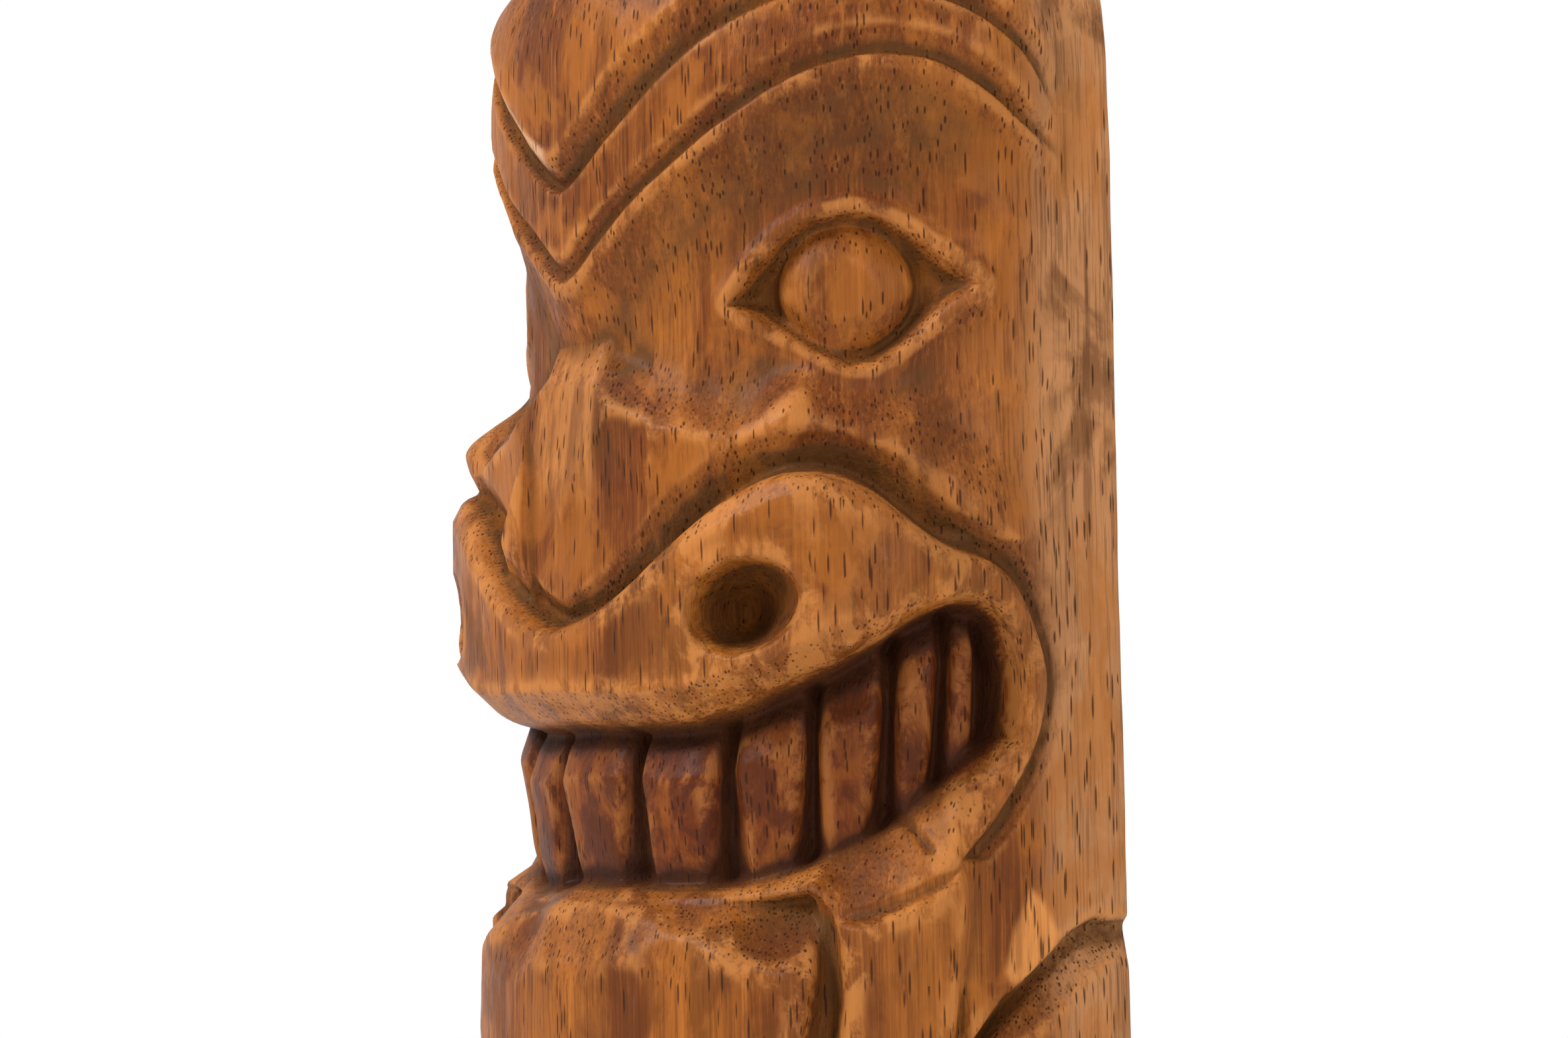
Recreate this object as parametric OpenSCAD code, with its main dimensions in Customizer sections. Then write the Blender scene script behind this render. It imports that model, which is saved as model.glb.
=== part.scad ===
// Carved wooden tiki figure on a plinth.
// The figure is one block with a flat back and a crowned front. It is pegged and
// screwed to the plinth from below, and a felt sheet covers the plinth's underside.
// Frame: +Z up, the figure faces -Y, origin under the middle of the felt.

/* [Block] */
// Height of the carved block
figure_h = 250; // [235:1:270]
// Half of the block's width
half_w = 34.5; // [33:0.5:36]
// Distance from the carver's axis back to the flat back
back_d = 4.5; // [3:0.5:6]
// Radius of the block's two rounded sides
side_r = 60; // [50:1:70]
// Height of the dome that ends the head
dome_h = 29; // [27:1:31]

/* [Relief] */
// Foremost point and front radius of the forehead
forehead = [33.8, 36.8]; // [33:0.2:35]
// Foremost point and front radius of the cheeks and eye sockets
cheek = [30.2, 31.6]; // [29.6:0.2:31]
// Foremost point and front radius of the lip band
muzzle = [35.4, 50]; // [34.6:0.2:36]
// Foremost point and front radius of the teeth
teeth = [30.6, 31.4]; // [29.8:0.2:31]
// Foremost point and front radius of the hollow behind the teeth
mouth = [27, 29]; // [26:0.5:27.5]
// Foremost point and front radius of the tongue and the jaw
tongue = [35.2, 39.5]; // [34.6:0.2:36]
// Foremost point and front radius of the chest and of the gaps between limbs
chest = [29, 34]; // [28:0.5:30]
// Foremost point and front radius of the arms and legs
limb = [33, 40]; // [32:0.5:34]
// Radius of an eyeball
eyeball_r = 7.5; // [7:0.5:8.5]
// Width of a carved groove
groove_w = 2.4; // [2:0.1:2.8]
// Depth of a carved groove
groove_d = 1.8; // [1.4:0.1:2.2]
// Depth of the almond round each eye
eye_d = 3; // [2.5:0.1:3.5]

/* [Plinth] */
// Width of the plinth
plinth_w = 92; // [88:1:104]
// Depth of the plinth
plinth_d = 62; // [58:1:72]
// Height of the plinth
plinth_h = 20; // [18:1:24]
// Chamfer round the plinth's upper edge
plinth_chamfer = 3; // [2:0.5:4]
// Thickness of the felt sheet
felt_t = 2; // [1.5:0.5:3]
// How far the felt stays inside the plinth's edge
felt_inset = 3; // [2:0.5:5]

/* [Fasteners] */
// Diameter of a locating dowel
dowel_d = 6; // [5:1:8]
// Length of a locating dowel
dowel_l = 26; // [20:1:30]
// Depth of the dowel's hole in the plinth
dowel_in_plinth = 12; // [10:1:14]
// Distance between the two dowels
dowel_pitch = 40; // [36:1:42]
// Diameter of a screw's shank, over the thread
screw_d = 4; // [3.5:0.5:5]
// Length of a screw
screw_l = 38; // [32:1:45]
// Diameter of a screw's countersunk head
screw_head_d = 8; // [7:0.5:9]
// Distance between the two screws
screw_pitch = 18; // [16:1:22]

/* [Hidden] */
$fn = 96;

far = 200;
eps = 0.01;
// The carver's axis, about which every angle of the relief is measured.
axis_y = 16;
foot_z = felt_t + plinth_h;
// The relief of each side is cut square to this angle from the front.
side_a = 52;
// Radius at which the relief's outlines are laid out.
layout_r = 35;
wood = [0.58, 0.33, 0.15];
dark_wood = [0.36, 0.20, 0.10];
steel = [0.72, 0.70, 0.64];

// Outlines of the figure's left side: [angle from the front, height above the foot].
inner_brow = [[1, 214.5], [8, 217.5], [15, 221], [25, 226], [36, 230], [50, 232.5], [62, 232], [72, 229.5],
    [80, 226.5], [87, 220]];
outer_brow = [[2, 206], [8, 208.7], [16, 212.2], [26, 217], [36, 221], [46, 224], [57, 225.8], [66, 225],
    [74, 222.3], [86, 216]];
eye_outline = [[31.5, 202], [42, 208], [53, 210], [63, 208], [73.4, 203.2], [62, 198], [52.5, 196],
    [42, 199]];
lip_top = [[-60, 173.8], [0, 173.8], [12, 175.8], [26, 181.6], [36, 185.6], [46, 187], [55, 185.3], [63, 181],
    [72, 179], [78, 176.5], [82.5, 170], [82, 164], [75, 156.7], [67.5, 152.1]];
lip_bottom = [[-60, 164.4], [20, 164], [38, 166.4], [55, 170.8], [66, 174.5], [73, 174.2], [76.7, 168],
    [75.5, 162.8], [65, 158]];
mouth_floor = [[-60, 150.1], [20, 149.9], [41, 151.2], [55, 154.1], [65, 158]];
tongue_outline = [[-60, 148.8], [35, 149], [44, 149.4], [46.4, 145], [44, 135], [35, 126], [20, 122],
    [-60, 122]];
jaw_outline = [[46.8, 149], [52, 147], [58, 148], [68, 154], [69, 148], [65.5, 134], [61, 128], [48, 124],
    [47.2, 132], [49, 141]];
nose_outline = [[0, 199.2], [3.6, 199.2], [6, 195], [10, 191], [22, 190], [26, 189], [26, 184], [14, 177],
    [0, 174.5]];
nose_plan = [[0, -33.7], [4, -33.7], [22, -28.3], [25.5, -24], [25.5, 0], [0, 0]];
shoulder = [[56, 124], [64, 129.5], [72, 137.4], [83, 142.7], [92, 146], [130, 148]];

// Heights above the foot.
elbow_z = 76;
waist_z = 70;
knee_z = 45;
instep_z = 16;
base_h = 7;

function on_side(points) = [for (p = points) [layout_r * sin(max(p[0] - side_a, -80)), p[1]]];
function reversed(points) = [for (i = [len(points) - 1:-1:0]) points[i]];
function unit(v) = v / norm(v);
function left_of(v) = [-v[1], v[0]];

// One edge of a strip of the given width that follows a line: w / 2 to its left.
function beside(line, w) = [for (i = [0:len(line) - 1])
    let (before = line[max(i - 1, 0)], after = line[min(i + 1, len(line) - 1)])
        line[i] + left_of(unit(after - before)) * w / 2];
function strip(line, w) = concat(beside(line, w), reversed(beside(line, -w)));

// How far from the carver's axis a bar's surface is, at an angle from the front.
function reach(shape, a) = let (off = shape[1] - shape[0])
    sqrt(shape[1] * shape[1] - off * off * sin(a) * sin(a)) - off * cos(a);

// An upright bar whose front has the radius shape[1] and whose foremost point is shape[0]
// in front of the carver's axis.
module bar(shape, low = -1, high = figure_h + 1) {
    translate([0, shape[1] - shape[0], low]) cylinder(r = shape[1], h = high - low);
}

// Extrudes an outline of [across, height] outwards, square to the figure's left side.
module out_of_side(points) {
    rotate([0, 0, side_a]) rotate([90, 0, 0]) linear_extrude(far / 2) polygon(points);
}

module left_half() {
    intersection() {
        union() children();
        translate([0, -far / 2, -far]) cube([far / 2, far, 3 * far]);
    }
}

module pair() {
    children();
    mirror([1, 0, 0]) children();
}

// A raised feature on both sides: an outline that stands out to the given shape.
module boss(points, shape) {
    intersection() {
        pair() out_of_side(on_side(points));
        bar(shape);
    }
}

// The same, for an outline that runs across the middle of the front.
module middle_boss(points, shape) {
    intersection() {
        pair() left_half() out_of_side(on_side(points));
        bar(shape);
    }
}

module block() {
    widest_y = -4;
    dome_w = half_w + 3;
    dome_r = (dome_w * dome_w + dome_h * dome_h) / (2 * dome_h);
    intersection() {
        translate([-half_w, back_d - far, 0]) cube([2 * half_w, far, figure_h]);
        translate([side_r - half_w, widest_y, 0]) cylinder(r = side_r, h = figure_h);
        translate([half_w - side_r, widest_y, 0]) cylinder(r = side_r, h = figure_h);
        union() {
            translate([0, 0, figure_h - dome_r]) sphere(r = dome_r);
            cylinder(r = dome_r + 1, h = figure_h - dome_r);
        }
    }
}

module brows() {
    low = concat([[-60, 203]], outer_brow, [[130, 208]]);
    difference() {
        middle_boss(concat(low, [[130, 260], [-60, 260]]), forehead);
        pair() left_half() difference() {
            union() {
                out_of_side(strip(on_side(inner_brow), groove_w));
                out_of_side(strip(on_side(outer_brow), groove_w));
            }
            bar([forehead[0] - groove_d, forehead[1] - groove_d]);
        }
    }
}

module back_strip() {
    boss([[84, 128], [84, 217], [130, 217], [130, 128]], forehead);
}

module eye_hollows() {
    pair() difference() {
        out_of_side(on_side(eye_outline));
        bar([cheek[0] - eye_d, cheek[1] - eye_d]);
    }
}

module eyeballs() {
    stands_out = 0.6;
    eye_z = 203.5;
    pair() rotate([0, 0, side_a]) translate([0, eyeball_r - stands_out - reach(cheek, side_a), eye_z])
        sphere(r = eyeball_r);
}

module mirrored_polygon(right) {
    polygon(concat(right, [for (p = reversed(right)) if (p[0] > 0) [-p[0], p[1]]]));
}

// A wedge that widens from the bridge to the two wings.
module nose() {
    intersection() {
        rotate([90, 0, 0]) linear_extrude(far / 2) mirrored_polygon(nose_outline);
        linear_extrude(figure_h) mirrored_polygon(nose_plan);
    }
}

// The groove that parts the nose and the cheeks from the lip.
module lip_groove() {
    floor_shape = [31.6, 35.4];
    difference() {
        pair() left_half() out_of_side(strip(on_side([for (i = [0:9]) lip_top[i]]), 2 * groove_w));
        bar(floor_shape);
    }
}

module lips() {
    hole_a = 37.5;
    hole_z = 174.8;
    hole_r = 4.2;
    hole_d = 5;
    difference() {
        middle_boss(concat(lip_top, reversed(lip_bottom)), muzzle);
        pair() rotate([0, 0, hole_a]) translate([0, hole_d - reach(muzzle, hole_a), hole_z])
            rotate([90, 0, 0]) cylinder(r = hole_r, h = far / 2);
    }
}

module mouth_hollow() {
    difference() {
        pair() left_half() out_of_side(on_side(concat(lip_bottom, reversed(mouth_floor))));
        bar(mouth);
    }
}

module tooth_row() {
    gap_angles = [11, 29.5, 44.5, 57, 65.5];
    gap_r = 2;
    gap_d = 1.3;
    half_row = 28;
    row_z = 146;
    row_h = 30;
    difference() {
        intersection() {
            bar(teeth, row_z, row_z + row_h);
            translate([-half_row, -far, row_z]) cube([2 * half_row, far, row_h]);
        }
        for (a = gap_angles, side = [-1, 1]) rotate([0, 0, side * a])
            translate([0, gap_d - gap_r - reach(teeth, a), 0]) cylinder(r = gap_r, h = figure_h);
    }
}

module chin() {
    // Its underside is just above the tongue's, so that the tongue hangs clear.
    core = [31.5, 36];
    core_low = 123;
    core_high = 149;
    bar(core, core_low, core_high);
    middle_boss(tongue_outline, tongue);
    boss(jaw_outline, [tongue[0] - 1, tongue[1]]);
}

module arms() {
    boss(concat(shoulder, [[130, elbow_z], [88, elbow_z], [64, elbow_z + 4]]), limb);
    boss([[64, elbow_z - 2], [70, 92], [34, 99], [34, 79]], [limb[0] - 0.5, limb[1]]);
}

module hands() {
    finger_pitch = 5;
    finger_w = 4.2;
    lowest_z = 79;
    finger = [[14, 0], [36, 0], [36, finger_w], [14, finger_w]];
    for (i = [0:3]) boss([for (p = finger) p + [0, lowest_z + i * finger_pitch]],
        [limb[0] + 0.6, limb[1]]);
}

module belly() {
    belly_r = 25;
    belly_z = 96;
    forward = 7;
    translate([0, -forward, belly_z]) sphere(r = belly_r);
}

module legs() {
    thigh = [[130, waist_z - 3], [60, waist_z - 2], [26, waist_z - 6], [18, 58], [24, knee_z],
        [130, knee_z - 4]];
    shin = [[20, 57], [59, 59], [54, instep_z], [24, instep_z - 1]];
    foot = [[7, base_h - 1], [70, base_h - 2], [66, instep_z + 2], [30, instep_z + 5], [12, instep_z]];
    boss(thigh, limb);
    boss(shin, [limb[0] - 1, limb[1]]);
    boss(foot, [limb[0] + 1, limb[1] - 0.5]);
}

module fastener_row(pitch) {
    for (s = [-1, 1]) translate([s * pitch / 2, axis_y - 15, 0]) children();
}

module dowel_hole_cutters() {
    fastener_row(dowel_pitch) translate([0, 0, foot_z - dowel_in_plinth]) cylinder(d = dowel_d, h = dowel_l);
}

module carved_block() {
    neck_z = 140;
    base_shape = [34.5, 44];
    intersection() {
        union() {
            bar(chest, -1, neck_z + 1);
            difference() {
                union() {
                    bar(cheek, neck_z);
                    nose();
                }
                eye_hollows();
                lip_groove();
                mouth_hollow();
            }
            brows();
            back_strip();
            eyeballs();
            lips();
            tooth_row();
            chin();
            arms();
            hands();
            legs();
            belly();
            bar(base_shape, -1, base_h);
        }
        block();
    }
}

module figure() {
    color(wood) difference() {
        translate([0, axis_y, foot_z]) carved_block();
        dowel_hole_cutters();
        fastener_row(screw_pitch) translate([0, 0, felt_t]) cylinder(d = screw_d, h = screw_l);
    }
}

module plinth_blank() {
    translate([-plinth_w / 2, -plinth_d / 2, 0]) cube([plinth_w, plinth_d, plinth_h - plinth_chamfer]);
    translate([0, 0, plinth_h - plinth_chamfer]) chamfered_slab(plinth_w, plinth_d, plinth_chamfer);
}

// A slab whose four sides lean in at 45 degrees.
module chamfered_slab(w, d, h) {
    intersection() {
        translate([-w / 2, 0, 0]) rotate([90, 0, 90])
            linear_extrude(w) polygon([[-d / 2, 0], [d / 2, 0], [d / 2 - h, h], [h - d / 2, h]]);
        translate([0, d / 2, 0]) rotate([90, 0, 0])
            linear_extrude(d) polygon([[-w / 2, 0], [w / 2, 0], [w / 2 - h, h], [h - w / 2, h]]);
    }
}

module screw_solid(clearance = 0) {
    head_h = (screw_head_d - screw_d) / 2;
    cylinder(d1 = screw_head_d + clearance, d2 = screw_d + clearance, h = head_h);
    cylinder(d = screw_d + clearance, h = screw_l - screw_d);
}

module plinth() {
    color(dark_wood) difference() {
        translate([0, 0, felt_t]) plinth_blank();
        dowel_hole_cutters();
        fastener_row(screw_pitch) translate([0, 0, felt_t]) screw_solid(0.4);
    }
}

module locating_dowels() {
    end_gap = 0.5;
    chamfer = 0.8;
    body_l = dowel_l - 2 * end_gap - 2 * chamfer;
    color("burlywood") fastener_row(dowel_pitch)
        translate([0, 0, foot_z - dowel_in_plinth + end_gap]) {
            cylinder(d1 = dowel_d - 2 * chamfer, d2 = dowel_d, h = chamfer);
            translate([0, 0, chamfer]) cylinder(d = dowel_d, h = body_l);
            translate([0, 0, chamfer + body_l])
                cylinder(d1 = dowel_d, d2 = dowel_d - 2 * chamfer, h = chamfer);
        }
}

module plinth_screws() {
    slot_w = 1.2;
    slot_d = 1.2;
    color(steel) fastener_row(screw_pitch) translate([0, 0, felt_t]) difference() {
        union() {
            screw_solid();
            translate([0, 0, screw_l - screw_d]) cylinder(d1 = screw_d, d2 = 0.6, h = screw_d - 1);
        }
        translate([-screw_head_d, -slot_w / 2, -eps]) cube([2 * screw_head_d, slot_w, slot_d]);
    }
}

module felt_pad() {
    corner = 4;
    w = plinth_w - 2 * felt_inset;
    d = plinth_d - 2 * felt_inset;
    color("darkolivegreen") {
        translate([-w / 2, corner - d / 2, 0]) cube([w, d - 2 * corner, felt_t]);
        translate([corner - w / 2, -d / 2, 0]) cube([w - 2 * corner, d, felt_t]);
        for (x = [-1, 1], y = [-1, 1])
            translate([x * (w / 2 - corner), y * (d / 2 - corner), 0]) cylinder(r = corner, h = felt_t);
    }
}

figure();
plinth();
locating_dowels();
plinth_screws();
felt_pad();
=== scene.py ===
import math

import bpy
import numpy as np
from mathutils import Matrix, Vector


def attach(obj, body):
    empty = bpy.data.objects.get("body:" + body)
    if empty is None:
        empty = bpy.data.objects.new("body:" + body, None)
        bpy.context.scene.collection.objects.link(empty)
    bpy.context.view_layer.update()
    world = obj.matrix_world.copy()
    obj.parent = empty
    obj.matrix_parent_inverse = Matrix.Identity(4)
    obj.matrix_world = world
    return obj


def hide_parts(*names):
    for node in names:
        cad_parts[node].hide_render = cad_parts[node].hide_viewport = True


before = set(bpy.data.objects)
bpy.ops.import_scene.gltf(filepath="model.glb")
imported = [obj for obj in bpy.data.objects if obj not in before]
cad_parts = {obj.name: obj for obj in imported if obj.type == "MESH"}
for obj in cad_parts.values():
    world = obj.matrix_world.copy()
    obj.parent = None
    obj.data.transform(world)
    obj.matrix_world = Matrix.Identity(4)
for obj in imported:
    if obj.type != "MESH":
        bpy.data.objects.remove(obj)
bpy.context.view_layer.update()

MM = 0.001

# ---------------------------------------------------------------- measures, in mm
# They repeat part.scad. Heights are above the figure's foot. Angles are in degrees from
# the front, about the carver's axis, towards the figure's left.
FOOT_Z = 22.0
AXIS_Y = 16.0
FIGURE_H = 250.0
BACK_D = 4.5
HALF_W = 34.5
SIDE_R = 60.0
WIDEST_Y = -4.0
LAYOUT_R = 35.0
DOME_R = 38.75
DOME_Z = FIGURE_H - DOME_R
DEG = math.pi / 180
MM_PER_DEG = LAYOUT_R * DEG


def smooth(low, high, x):
    t = np.clip((x - low) / (high - low), 0, 1)
    return t * t * (3 - 2 * t)


def mix(a, b, t):
    return a + (b - a) * t


def soft_min(a, b, k):
    """The smaller of two, blended where they are within k of each other."""
    h = np.clip(0.5 + 0.5 * (b - a) / k, 0, 1)
    return b + (a - b) * h - k * h * (1 - h)


def soft_max(a, b, k):
    return -soft_min(-a, -b, k)


def at(table, x):
    """The value at x of a line through a few (x, y) points, level past its ends."""
    xs, ys = zip(*table)
    return np.interp(x, xs, ys)


# ---------------------------------------------------------------- the sculpted block
# The columns are close over the front and sides, and far apart across the flat back.
FRONT_COLUMNS = 400
REAR_COLUMNS = 56
EDGE_A = 97.56
# The rows are closest over the face.
FACE_LOW_Z = 118
FACE_TOP_Z = 234
CROWN_GAP = 0.6
front = np.linspace(-EDGE_A, EDGE_A, FRONT_COLUMNS)
rear = np.linspace(EDGE_A, 360 - EDGE_A, REAR_COLUMNS + 2)[1:-1]
column_a = np.concatenate([front, rear])
column_a = np.where(column_a > 180, column_a - 360, column_a)
rows = np.concatenate([
    np.arange(0, FACE_LOW_Z, 0.6),
    np.arange(FACE_LOW_Z, FACE_TOP_Z, 0.3),
    np.arange(FACE_TOP_Z, DOME_Z + DOME_R * math.pi / 2 - CROWN_GAP, 0.75),
])
A, Z = np.meshgrid(column_a, rows)
SIDE = np.abs(A)


class Noise:
    """Seeded value noise on an endless 3D lattice."""

    def __init__(self, seed):
        self.table = np.random.RandomState(seed).rand(4096)

    def cell(self, i, j, k):
        return self.table[(i * 73 + j * 1571 + k * 977 + (i * j) % 31) % 4096]

    def __call__(self, x, y, z):
        i, j, k = (np.floor(t).astype(int) for t in (x, y, z))
        u, v, w = x - i, y - j, z - k
        u, v, w = (t * t * (3 - 2 * t) for t in (u, v, w))
        out = 0
        for di in (0, 1):
            for dj in (0, 1):
                for dk in (0, 1):
                    weight = np.abs(1 - di - u) * np.abs(1 - dj - v) * np.abs(1 - dk - w)
                    out = out + weight * self.cell(i + di, j + dj, k + dk)
        return out * 2 - 1


def scoops(x, y, seed):
    """Squared distance to the nearest jittered cell centre, and that cell's own random number."""
    rng = np.random.RandomState(seed)
    jitter = rng.rand(4096, 3)
    i, j = np.floor(x).astype(int), np.floor(y).astype(int)
    best = np.full(x.shape, 9.0)
    tint = np.zeros(x.shape)
    for di in (-1, 0, 1):
        for dj in (-1, 0, 1):
            n = ((i + di) * 131 + (j + dj) * 1777) % 4096
            cx = i + di + 0.5 + (jitter[n, 0] - 0.5)
            cy = j + dj + 0.5 + (jitter[n, 1] - 0.5)
            d = (x - cx) ** 2 + (y - cy) ** 2
            near = d < best
            best = np.where(near, d, best)
            tint = np.where(near, jitter[n, 2], tint)
    return best, tint


# The two sides are carved by the same hand, not alike: the right side wanders a little.
wander = Noise(11)
right = smooth(3, 12, -A)
PX = SIDE + right * 0.7 * wander(A / 24, Z / 17, 0 * A)
PZ = Z + right * 0.6 * wander(A / 21 + 40, Z / 19, 0 * A + 3)


def to_line(points):
    """Distance in mm from every grid point to a line of (angle, height) points."""
    best = np.full(PX.shape, 1e9)
    x, y = PX * MM_PER_DEG, PZ
    pts = [(a * MM_PER_DEG, z) for a, z in points]
    for (x0, y0), (x1, y1) in zip(pts, pts[1:]):
        dx, dy = x1 - x0, y1 - y0
        t = np.clip(((x - x0) * dx + (y - y0) * dy) / max(dx * dx + dy * dy, 1e-9), 0, 1)
        best = np.minimum(best, (x - x0 - t * dx) ** 2 + (y - y0 - t * dy) ** 2)
    return np.sqrt(best)


def within(points):
    """Signed distance in mm to a closed outline, positive inside."""
    inside = np.zeros(PX.shape, bool)
    for (x0, y0), (x1, y1) in zip(points, points[1:] + points[:1]):
        if y0 == y1:
            continue
        crosses = (PZ > min(y0, y1)) & (PZ <= max(y0, y1))
        inside ^= crosses & (PX < x0 + (PZ - y0) * (x1 - x0) / (y1 - y0))
    return np.where(inside, 1, -1) * to_line(points + points[:1])


def rounded(points):
    """The same line with its corners cut twice, so that it bends like a knife's path."""
    for _ in range(2):
        out = [points[0]]
        for (x0, y0), (x1, y1) in zip(points, points[1:]):
            out.append((0.75 * x0 + 0.25 * x1, 0.75 * y0 + 0.25 * y1))
            out.append((0.25 * x0 + 0.75 * x1, 0.25 * y0 + 0.75 * y1))
        points = out + [points[-1]]
    return points


def reach(foremost, radius):
    """The distance from the axis to a round form of this radius whose front stands at foremost."""
    off = radius - foremost
    a = PX * DEG
    return np.sqrt(radius ** 2 - (off * np.sin(a)) ** 2) - off * np.cos(a)


def groove(d, width, depth):
    """A V-shaped cut's depth at distance d from its line, with a slightly round bottom."""
    soft = 0.25
    return depth * np.clip(1 - np.sqrt(d * d + soft * soft) / width, 0, 1)


def facet(a, z, r, azimuth, tilt):
    """The radius of a flat knife cut through a point, with its normal turned and tilted in degrees."""
    widest = 1.4
    turn = np.cos(np.clip((PX - azimuth) * DEG, -widest, widest))
    return (r * math.cos((a - azimuth) * DEG) + (z - PZ) * math.tan(tilt * DEG)) / turn


def ramp(d, width):
    """1 on a line, falling straight to 0 at the given distance."""
    return np.clip(1 - d / width, 0, 1)


def blur(field, along_z, across, passes=3):
    """Running means down the rows and along the columns, which come close to a Gaussian blur."""
    for axis, n in ((0, along_z), (1, across)):
        size = 2 * n + 1
        for _ in range(passes):
            first, last = np.take(field, [0] * (n + 1), axis), np.take(field, [-1] * n, axis)
            total = np.cumsum(np.concatenate([first, field, last], axis), axis)
            ends = np.take(total, range(size, total.shape[axis]), axis)
            starts = np.take(total, range(0, total.shape[axis] - size), axis)
            field = (ends - starts) / size
    return field


# Lines and outlines as (angle, height). They serve both sides, apart from FAR_SHELF, which is the right's.
INNER_BROW = rounded([
    (0, 214.3), (2.5, 214.8), (8, 217.3), (15, 221), (25, 226), (36, 230), (48, 232.5), (60, 232.3),
    (70, 230.5), (78, 227.3), (83, 224.5), (87, 220)])
OUTER_BROW = rounded([
    (0, 205.7), (2.5, 206), (8, 208.7), (16, 212.2), (26, 217), (36, 221), (45, 224), (56, 225.8),
    (66, 225), (74, 222.3), (81, 218.8), (88, 215.5)])
EYE = [
    (31.5, 202), (36, 205), (42, 208), (47, 209.3), (53, 209.9), (58, 209.4), (63, 207.8), (68, 205.6),
    (73.4, 203.2), (70, 202), (66, 200), (62, 198), (57, 196.3), (52.5, 196), (47, 197.3), (42, 199),
    (37, 200.6)]
SHELF = [(0, 191), (10, 191.6), (19, 191.2), (25, 190.8), (30, 190), (34, 189.3), (40, 189.2), (60, 187)]
FAR_SHELF = [
    (0, 196), (14, 192.2), (18, 190.6), (25, 189.6), (33, 188.2), (38, 188.5), (42, 188.6), (60, 186)]
LIP_TOP = rounded([
    (0, 173.8), (6, 174.5), (12, 175.8), (20, 178.8), (28, 182.6), (35, 185.2), (42, 186.8), (49, 186.7),
    (55, 185.3), (61, 182.3), (66, 180), (72, 179), (77, 177.2), (80.5, 173.5), (83, 169), (82.6, 165),
    (80, 161), (75, 156.7), (70, 153.8), (67.5, 152.1)])
LOWER_LIP = rounded([
    (67.5, 152.1), (66, 150.4), (62, 149), (57, 147.7), (52, 146.8), (48.5, 147.3), (46, 149.2)])
ROOF = [(0, 164.4), (20, 164), (29, 164.6), (38, 166.4), (46, 168.2), (55, 170.8), (61, 173.2), (67, 174.8)]
CORNER = [(67, 174.8), (71.5, 174.8), (75, 172.6), (76.6, 169), (76.8, 165.7), (75.6, 162.8)]
LIP_LOW = rounded(ROOF + CORNER[1:])
MOUTH_FLOOR = rounded([
    (0, 150.1), (20, 149.9), (32, 150), (41, 151.2), (48, 152.4), (55, 154.1), (60, 155.7), (65, 158),
    (72, 160.9), (75.6, 162.8)])
TONGUE_EDGE = rounded([
    (44.5, 150), (46.4, 147), (46.4, 144), (45.4, 139), (42.5, 132), (35, 125.5), (20, 121.8), (0, 120.5)])
JAW_EDGE = rounded([
    (67.5, 152.1), (69.4, 150), (68.8, 146), (67.3, 140), (65.5, 134), (61, 128), (52, 124)])
SHOULDER = rounded([
    (56, 124), (64, 129.5), (68, 133.8), (72, 137.4), (78.6, 140.5), (83, 142.7), (87, 144.7), (92, 146)])
CHIP = [
    (74.4, 142), (75.8, 145.4), (79, 149.2), (81.5, 148), (84.2, 145.2), (82, 142.8), (78.5, 140.8),
    (76, 140.6)]

# The uncarved block's rounded sides, and the same a little lower towards the front.
side_x = SIDE_R - HALF_W
across = side_x * np.sin(SIDE * DEG) + WIDEST_Y * np.cos(SIDE * DEG)
BLOCK = -across + np.sqrt(across ** 2 + SIDE_R ** 2 - side_x ** 2 - WIDEST_Y ** 2)
PLAIN = BLOCK - 1.3 * smooth(97, 86, PX)

# How far each point is below the outer brow, and its place on the eyeball: 0 in the middle, 1 at the edge.
BELOW_BROW = at(OUTER_BROW + [(180, 212)], PX) - PZ
BALL_A, BALL_Z = 52, 203.3
BALL_HALF_W, BALL_HALF_H = 7.7, 6.2
BALL = np.hypot((PX - BALL_A) * MM_PER_DEG / BALL_HALF_W, (PZ - BALL_Z) / BALL_HALF_H)


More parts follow.
